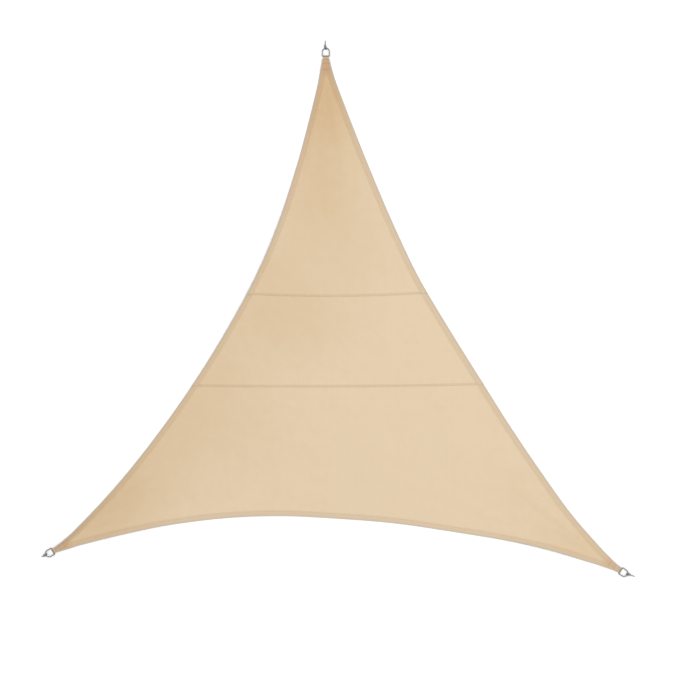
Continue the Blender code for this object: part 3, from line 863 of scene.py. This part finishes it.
places, triangles = flat_pattern()
centres = places[triangles].mean(1)
Panel = namedtuple("Panel", "name above below flat area")
PANELS = (
    Panel("top", None, UPPER_SEAM, (0.93, 1.24), 0.53),
    Panel("middle", UPPER_SEAM, LOWER_SEAM, (1.42, 0.49), 0.58),
    Panel("bottom", LOWER_SEAM, None, (2.90, 0.96), 1.51),
)
for panel in PANELS:
    kept = np.ones(len(triangles), bool)
    if panel.above:
        kept &= centres[:, 1] < seam_height(panel.above, centres[:, 0]) + LAP / 2
    if panel.below:
        kept &= centres[:, 1] > seam_height(panel.below, centres[:, 0]) - LAP / 2
    used, faces = np.unique(triangles[kept], return_inverse=True)
    faces = faces.reshape(-1, 3)
    flat = places[used]
    sides_of = np.concatenate([faces[:, [0, 1]], faces[:, [1, 2]], faces[:, [2, 0]]])
    lone, uses = np.unique(np.sort(sides_of, axis=1), axis=0, return_counts=True)
    border = np.zeros(len(flat), bool)
    border[lone[uses == 1].ravel()] = True
    lower, upper, layers, from_side, sewn = cloth_faces(flat, panel.above, panel.below)
    nearest = from_side.min(0)
    middle_height = (lower + upper) / 2
    top_points = np.column_stack([flat, np.where(border, middle_height, upper)])
    under = np.flatnonzero(~border)
    number_under = np.arange(len(flat))
    number_under[under] = len(flat) + np.arange(len(under))
    points = np.concatenate([top_points, np.column_stack([flat[under], lower[under]])])
    both = np.concatenate([faces, number_under[faces][:, ::-1]])
    piece = mesh_object("cloth_panel_" + panel.name, points, both.tolist(), cloth_look)
    # painted shade, summed from the table of shades
    painted_shade_depth = np.zeros(len(flat))
    for shade in itertools.starmap(Shade, SHADES):
        off_x = (flat[:, 0] - shade.x) / shade.reach_x
        off_y = (flat[:, 1] - shade.y) / shade.reach_y
        painted_shade_depth += shade.strength * np.exp(-(off_x**2 + off_y**2))
    for name, values in (
        ("tone", np.clip(painted_shade_depth, 0, 1)), ("doubled", layers),
        # the sewn tint also carries the rolled hem's painted shade
        ("sewn", np.maximum(sewn, rolled_hem_shade(flat, from_side))),
        # the rim is partly painted shade of the folded edge curving down, partly rubbed grey
        ("rim", RIM_SHARE * (1 - smooth_step((nearest - RIM[0]) / RIM[1]))),
        # turned is the darker line just inside each hem's folded edge
        ("tip", tip_tone(flat)), ("turned", hem_line_strength(flat, from_side)),
    ):
        mesh_number(piece, name, np.concatenate([values, values[under]]))
    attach(piece, "root")
    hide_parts("panel_" + panel.name)


# ---------- stitches
# Rows of lockstitch in thick brown polyester thread: one along each hem, two along each seam, and
# a box with a cross in each tip. Each stitch is pulled down into the cloth at both its ends.

STITCH = 0.0036
STITCH_PITCH = 0.0046
STITCH_LEAN = 0.10  # of each stitch to its row
THREAD = 0.0009
THREAD_LIFT = 0.15  # share of it that a stitch stands above the cloth's face
STITCH_SIDES = 6
HEM_ROW_GAP = 0.004  # between a tip's box and the hems' rows
SEAM_ROW_GAP = 0.003  # between a hem's row and the seams' rows
ROW_SLACK = 0.0006
THREAD_DARK = (0.44, 0.31, 0.18)
THREAD_PALE = (0.62, 0.47, 0.31)

thread_look, tree, shader = new_material("thread", {"Roughness": 0.6, "Sheen Weight": 0.2})
strands = noise_value(tree, object_place(tree), 2200.0, 2.0)
tree.links.new(mixed(tree, strands, THREAD_DARK, THREAD_PALE), shader.inputs["Base Color"])
add_bump(tree, strands, 0.5, 0.00006)

ring_angles = np.arange(STITCH_SIDES) * 2 * math.pi / STITCH_SIDES
template = [(-0.5, 0.0, -0.9)]
for along in (-0.30, 0.30):
    template += [(along, math.cos(a), math.sin(a)) for a in ring_angles]
template = np.array(template + [(0.5, 0.0, -0.9)])  # lengths along, and radii across and up
last = 2 * STITCH_SIDES + 1
template_faces = []
for k in range(STITCH_SIDES):
    a, b = 1 + k, 1 + (k + 1) % STITCH_SIDES
    template_faces += [(0, b, a), (a, b, b + STITCH_SIDES, a + STITCH_SIDES)]
    template_faces.append((last, a + STITCH_SIDES, b + STITCH_SIDES))

hem_rows = [moved_in(line, HEM_STITCH) for line in side_lines]
seam_rows = [
    seam_line(seam, shift) for seam in (UPPER_SEAM, LOWER_SEAM) for shift in (-LAP_STITCH, LAP_STITCH)
]


def side_distance(points):
    """How far each point is from the nearest side."""
    return np.min([distance_to(points, line) for line in side_lines], axis=0)


def row_of_stitches(row, kind):
    """The middle and the way of each stitch of a row, without those that the row doesn't reach."""
    points = spaced([Vector(p) for p in row], STITCH_PITCH)
    middles = (points[1:] + points[:-1]) / 2
    ways = points[1:] - points[:-1]
    ways /= np.linalg.norm(ways, axis=1)[:, None]
    if kind == "hem":
        kept = bar_distance(middles) > BOX_FAR + HEM_ROW_GAP
        kept &= side_distance(middles) > HEM_STITCH - ROW_SLACK
    elif kind == "seam":
        kept = inside_outline(middles, outline) & (side_distance(middles) > HEM_STITCH + SEAM_ROW_GAP)
    else:
        kept = np.ones(len(middles), bool)
    return middles[kept], ways[kept]


rows = [row_of_stitches(row, "hem") for row in hem_rows]
rows += [row_of_stitches(row, "seam") for row in seam_rows]
rows += [row_of_stitches(row, "box") for row in tip_rows]
middles = np.concatenate([middles for middles, _ in rows])
ways = np.concatenate([ways for _, ways in rows])
lean = np.column_stack([-ways[:, 1], ways[:, 0]]) * STITCH_LEAN
ways = (ways + lean) / math.hypot(1, STITCH_LEAN)

for panel in PANELS:
    kept = np.ones(len(middles), bool)
    if panel.above:
        kept &= middles[:, 1] < seam_height(panel.above, middles[:, 0]) - LAP / 2
    if panel.below:
        kept &= middles[:, 1] >= seam_height(panel.below, middles[:, 0]) - LAP / 2
    middle, way = middles[kept], ways[kept]
    before, here, after = (
        cloth_faces(middle + way * shift, panel.above, panel.below)
        for shift in (-STITCH / 2, 0.0, STITCH / 2)
    )
    points = []
    for face, hand in ((1, 1), (0, -1)):
        along = np.column_stack([way * STITCH, after[face] - before[face]])
        side = np.column_stack([-way[:, 1], way[:, 0], np.zeros(len(way))])
        up = np.cross(along / np.linalg.norm(along, axis=1)[:, None], side) * hand
        centre = np.column_stack([middle, here[face] + hand * THREAD_LIFT * THREAD])
        points.append(
            centre[:, None] + along[:, None] * template[None, :, :1]
            + side[:, None] * template[None, :, 1:2] * THREAD / 2 * hand
            + up[:, None] * template[None, :, 2:] * THREAD / 2
        )
    points = np.concatenate(points).reshape(-1, 3)
    faces = []
    for i in range(2 * len(middle)):
        faces += [tuple(k + i * len(template) for k in face) for face in template_faces]
    piece = mesh_object("stitches_" + panel.name, points, faces, thread_look)
    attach(piece, "root")


# ---------- webbing loops
# A strip of flat polyester webbing 28 mm wide at each corner, folded round the bar of the ring.
# Both its tails are sewn under the tip of the cloth. The fold over the ring's bar is painted dark, as
# shade.

WEBBING_WIDTH = 0.028
WEBBING_TAIL = 0.072
WEBBING_WRAP = 205  # degrees round the bar
WRAP_POINTS = 24
WEBBING_EDGE = (0.0008, 0.25)  # over what width an edge rounds off, and the least share
SHOULDER = 0.0095
WIRE = 0.005
BAR_HEIGHT = WEBBING + GAP + WIRE / 2
WEBBING_STEP = 0.0006  # between the rows of points along a loop
RIBS = 14  # across the width
RIB_RELIEF = 0.00012
WEFT_PITCH = 0.0024
WEFT_RELIEF = 0.00006
BAR_SHADE_FROM = -0.0042  # where the fold's painted shade begins and ends, out from the bar's middle
BAR_SHADE_TO = 0.0026
BAR_SHADE_FADE = 0.0022
WEBBING_PALE = (0.585, 0.495, 0.375)
WEBBING_DEEP = (0.500, 0.405, 0.285)
# painted shade on the fold over the ring's bar
WEBBING_BAR_SHADE = (0.130, 0.118, 0.105)


def at_corner(points, corner, height, tilt=0.0):
    """Points with +Y as their outward way, put at a corner's bar and tilted about it."""
    x, y, z = np.array(points, float).T
    y, z = y * math.cos(tilt) - z * math.sin(tilt), y * math.sin(tilt) + z * math.cos(tilt)
    angle = math.radians(corner.heading - 90)
    return np.column_stack([
        corner.x + x * math.cos(angle) - y * math.sin(angle),
        corner.y + x * math.sin(angle) + y * math.cos(angle),
        height + z,
    ])


def loop_line():
    """The middle of a loop's thickness, from the end of its lower tail round the bar to the end
    of its upper one: y and z from the middle of the bar."""
    radius = WIRE / 2 + GAP + WEBBING / 2
    low = WEBBING / 2 - BAR_HEIGHT
    high = low + WEBBING + GAP
    angles = np.radians(np.linspace(-90, WEBBING_WRAP - 90, WRAP_POINTS))
    wrap = [(radius * math.cos(a), radius * math.sin(a)) for a in angles]
    line = spaced(
        [(-WEBBING_TAIL, low), (-SHOULDER, low), *wrap, (-SHOULDER, high), (-WEBBING_TAIL, high)],
        WEBBING_STEP,
    )
    for _ in range(3):
        line[1:-1] = (line[:-2] + 2 * line[1:-1] + line[2:]) / 4
    return line


webbing_look, tree, shader = new_material("webbing", {"Roughness": 0.8, "Sheen Weight": 0.15})
strip = add_node(tree, "ShaderNodeAttribute", attribute_name="strip")
weave = add_weave(tree, strip.outputs["Vector"], WEBBING_WIDTH / RIBS / 2, WEFT_PITCH / 2)
patches = noise_value(tree, strip.outputs["Vector"], 220.0, 3.0)
colour = mixed(tree, weave.outputs["Thread"], WEBBING_PALE, WEBBING_DEEP)
# painted shade: the webbing darkens in patches where it folds over the ring's bar
patchy = math_node(tree, "ADD", math_node(tree, "MULTIPLY", patches, 0.5), 0.65)
bar_shaded = math_node(tree, "MULTIPLY", mesh_value(tree, "bar_shade_mark"), patchy)
tree.links.new(mixed(tree, bar_shaded, colour, WEBBING_BAR_SHADE), shader.inputs["Base Color"])
add_bump(tree, weave.outputs["Height"], 0.6, 0.00015)

line = loop_line()
along = run_along(line)
ways = ways_along(line)
normals = np.column_stack([ways[:, 1], -ways[:, 0]])
across = np.linspace(-0.5, 0.5, 2 * RIBS + 1) * WEBBING_WIDTH
rib = np.abs(np.sin(np.arange(2 * RIBS + 1) * math.pi / 2))
weft = WEFT_RELIEF * np.sin(2 * math.pi * along / WEFT_PITCH)
edge = np.clip((WEBBING_WIDTH / 2 - np.abs(across)) / WEBBING_EDGE[0], WEBBING_EDGE[1], 1.0) ** 0.5
half = (WEBBING / 2 - RIB_RELIEF * (1 - rib)) * edge
profile = np.concatenate([
    np.column_stack([across, half]), np.column_stack([across[::-1], -half[::-1]]),
])
out = profile[None, :, 1] - np.sign(profile[None, :, 1]) * (WEFT_RELIEF + weft[:, None])
points = np.stack([
    np.broadcast_to(profile[None, :, 0], out.shape),
    line[:, :1] + normals[:, :1] * out,
    line[:, 1:] + normals[:, 1:] * out,
], axis=2).reshape(-1, 3)
strip_place = np.stack([
    np.broadcast_to(profile[None, :, 0], out.shape),
    np.broadcast_to(along[:, None], out.shape),
    np.zeros(out.shape),
], axis=2).reshape(-1, 3)
# painted shade on the fold over the bar
round_bar = smooth_step((line[:, 0] - BAR_SHADE_FROM) / BAR_SHADE_FADE)
round_bar *= smooth_step((BAR_SHADE_TO - line[:, 0]) / BAR_SHADE_FADE) * (line[:, 1] > 0)
bar_shade_share = np.repeat(round_bar, len(profile))
faces = tube_faces(len(line), len(profile))
for corner in CORNERS:
    placed = at_corner(points, corner, BAR_HEIGHT)
    loop = mesh_object("webbing_loop_" + corner.name, placed, faces, webbing_look)
    strip_attribute = loop.data.attributes.new("strip", "FLOAT_VECTOR", "POINT")
    strip_attribute.data.foreach_set("vector", strip_place.ravel())
    mesh_number(loop, "bar_shade_mark", bar_shade_share)
    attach(loop, "root")
    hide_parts("loop_" + corner.name)


# ---------- D-rings
# Each is bent from round stainless wire 5 mm thick, and polished. Its straight bar, where it is
# welded shut, lies in the webbing's fold.

WIRE_SIDES = 24
BOW_STEPS = 48
BEND_STEPS = 8
RING_CORNER = 0.003
BOW_HEIGHT = CORD + 3 * GAP + WIRE / 2
RING_TILT = math.asin((BOW_HEIGHT - BAR_HEIGHT) / RING_DEPTH)
STEEL_PALE = (0.27, 0.27, 0.275)
STEEL_DEEP = (0.17, 0.17, 0.175)

steel_look, tree, shader = new_material("steel", {"Metallic": 1.0})
place = object_place(tree)
scratches = noise_value(tree, place, 900.0, 4.0, Distortion=1.5)
stains = noise_value(tree, place, 140.0, 3.0)
tree.links.new(mixed(tree, stains, STEEL_PALE, STEEL_DEEP), shader.inputs["Base Color"])
rough = math_node(tree, "ADD", math_node(tree, "MULTIPLY", scratches, 0.16), 0.16)
tree.links.new(rough, shader.inputs["Roughness"])
add_bump(tree, scratches, 0.25, 0.00003)


def bend_wire(steps, degrees, x, y):
    """Turns the open end of the ring's wire about a point."""
    bpy.ops.mesh.spin(
        steps=steps, angle=math.radians(degrees), center=(x, y, 0.0), axis=(0.0, 0.0, 1.0)
    )


def draw_wire(x, y):
    """Draws the open end of the ring's wire out by a way."""
    bpy.ops.mesh.extrude_region_move(TRANSFORM_OT_translate={"value": (x, y, 0.0)})


half_width = RING_WIDTH / 2
bow_start = RING_DEPTH - half_width
bpy.ops.object.select_all(action="DESELECT")
bpy.ops.mesh.primitive_circle_add(
    vertices=WIRE_SIDES, radius=WIRE / 2, location=(half_width, bow_start, 0.0),
    rotation=(math.radians(90), 0.0, 0.0),
)
ring = bpy.context.object
bpy.ops.object.transform_apply(location=True, rotation=True, scale=True)
bpy.ops.object.mode_set(mode="EDIT")
bpy.ops.mesh.select_all(action="SELECT")
bend_wire(BOW_STEPS, -180, 0.0, bow_start)
draw_wire(0.0, RING_CORNER - bow_start)
bend_wire(BEND_STEPS, -90, RING_CORNER - half_width, RING_CORNER)
draw_wire(RING_WIDTH - 2 * RING_CORNER, 0.0)
bend_wire(BEND_STEPS, -90, half_width - RING_CORNER, RING_CORNER)
draw_wire(0.0, bow_start - RING_CORNER)
bpy.ops.mesh.select_all(action="SELECT")
bpy.ops.mesh.remove_doubles(threshold=0.00001)
bpy.ops.mesh.normals_make_consistent(inside=False)
bpy.ops.object.mode_set(mode="OBJECT")
bpy.ops.object.shade_smooth()
ring.data.materials.append(steel_look)
ring_points = np.array([tuple(vertex.co) for vertex in ring.data.vertices])

for corner in CORNERS:
    if corner is TOP:
        piece = ring
    else:
        piece = bpy.data.objects.new("ring", ring.data.copy())
        bpy.context.scene.collection.objects.link(piece)
    piece.name = "d_ring_" + corner.name
    placed = at_corner(ring_points, corner, BAR_HEIGHT, RING_TILT)
    piece.data.vertices.foreach_set("co", placed.ravel())
    piece.data.update()
    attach(piece, "root")
    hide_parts("ring_" + corner.name)


# ---------- floor and light
# A plain white floor in soft light from all round, a little brighter from the right.

FLOOR_SIZE = 120.0
FLOOR_DROP = 0.0008  # below the stitches under the cloth

floor_look, _, _ = new_material("floor", {"Base Color": (0.98, 0.98, 0.98, 1.0), "Roughness": 0.9})
bpy.ops.object.select_all(action="DESELECT")
bpy.ops.mesh.primitive_plane_add(size=FLOOR_SIZE, location=(0.0, 0.0, -FLOOR_DROP))
floor = bpy.context.object
floor.name = "floor"
bpy.ops.object.transform_apply(location=True, rotation=True, scale=True)
floor.data.materials.append(floor_look)

ZENITH = 0.75
HORIZON = 0.40
world = bpy.data.worlds.new("studio")
world.use_nodes = True
tree = world.node_tree
direction = add_node(tree, "ShaderNodeTexCoord").outputs["Generated"]
split = add_node(tree, "ShaderNodeSeparateXYZ")
tree.links.new(direction, split.inputs[0])
above = math_node(tree, "MULTIPLY", math_node(tree, "MAXIMUM", split.outputs[2], 0.0), ZENITH)
tree.links.new(math_node(tree, "ADD", above, HORIZON), tree.nodes["Background"].inputs["Strength"])
tree.nodes["Background"].inputs["Color"].default_value = (1.0, 1.0, 1.0, 1.0)
bpy.context.scene.world = world

lamp = bpy.data.objects.new("softbox", bpy.data.lights.new("softbox", "AREA"))
lamp.data.shape = "DISK"
lamp.data.size = 5.0
lamp.data.energy = 300.0
lamp.location = (4.0, 2.5, 9.5)
lamp.rotation_euler = (-lamp.location).to_track_quat("-Z", "Y").to_euler()
bpy.context.scene.collection.objects.link(lamp)
bpy.context.scene.view_settings.view_transform = "Standard"
